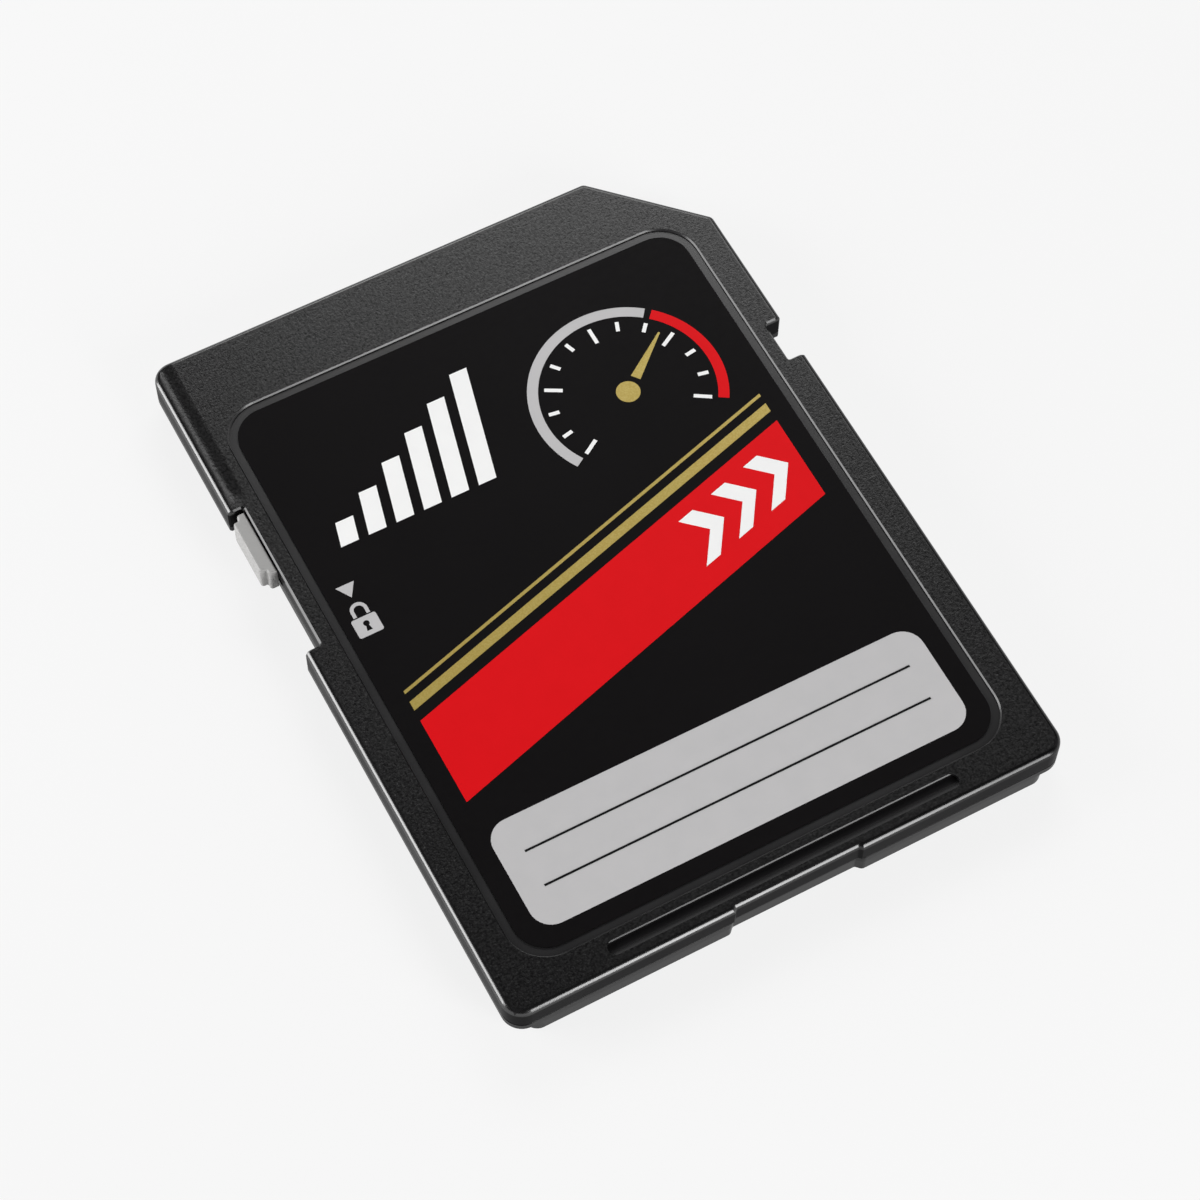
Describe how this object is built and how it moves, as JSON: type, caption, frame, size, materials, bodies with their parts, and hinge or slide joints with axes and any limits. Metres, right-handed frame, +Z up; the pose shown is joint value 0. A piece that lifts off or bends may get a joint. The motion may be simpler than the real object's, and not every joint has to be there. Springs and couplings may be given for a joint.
{
  "type": "sd memory card",
  "caption": "Flat black memory card with a cut corner, stepped edge rails, a recessed label, contact rows under its front end and a sliding write-protect switch in its left edge.",
  "frame": {"origin": "under the middle of the card, on the surface that it lies on", "axes": "+X towards the right edge with the key notch, +Y towards the contact end, +Z up through the label"},
  "size_m": [0.024, 0.032, 0.0021],
  "materials": {
    "shell": "fine-grained satin moulding",
    "label_film": "printed satin film",
    "slider": "satin moulding",
    "board": "solder mask on glass laminate",
    "contact": "gold plate",
    "chip": "moulded epoxy",
    "capacitor": "fired ceramic with tinned ends",
    "resistor": "coated ceramic with tinned ends"
  },
  "bodies": {
    "card": {"upper_case": "shell", "lower_case": "shell", "circuit_board": "board", "label": "label_film", "memory_chip": "chip", "controller_chip": "chip", "contact_01": "contact", "contact_02": "contact", "contact_03": "contact", "contact_04": "contact", "contact_05": "contact", "contact_06": "contact", "contact_07": "contact", "contact_08": "contact", "contact_09": "contact", "contact_10": "contact", "contact_11": "contact", "contact_12": "contact", "contact_13": "contact", "contact_14": "contact", "contact_15": "contact", "contact_16": "contact", "contact_17": "contact", "capacitor_1": "capacitor", "capacitor_2": "capacitor", "capacitor_3": "capacitor", "capacitor_4": "capacitor", "capacitor_5": "capacitor", "capacitor_6": "capacitor", "resistor_1": "resistor", "resistor_2": "resistor", "resistor_3": "resistor", "resistor_4": "resistor"},
    "slider": {"write_protect_slider": "slider"}
  },
  "joints": [
    {"name": "slider_slide", "type": "slide", "parent": "card", "child": "slider", "axis": [0, -1, 0], "range_m": [0, 0.00365]}
  ]
}
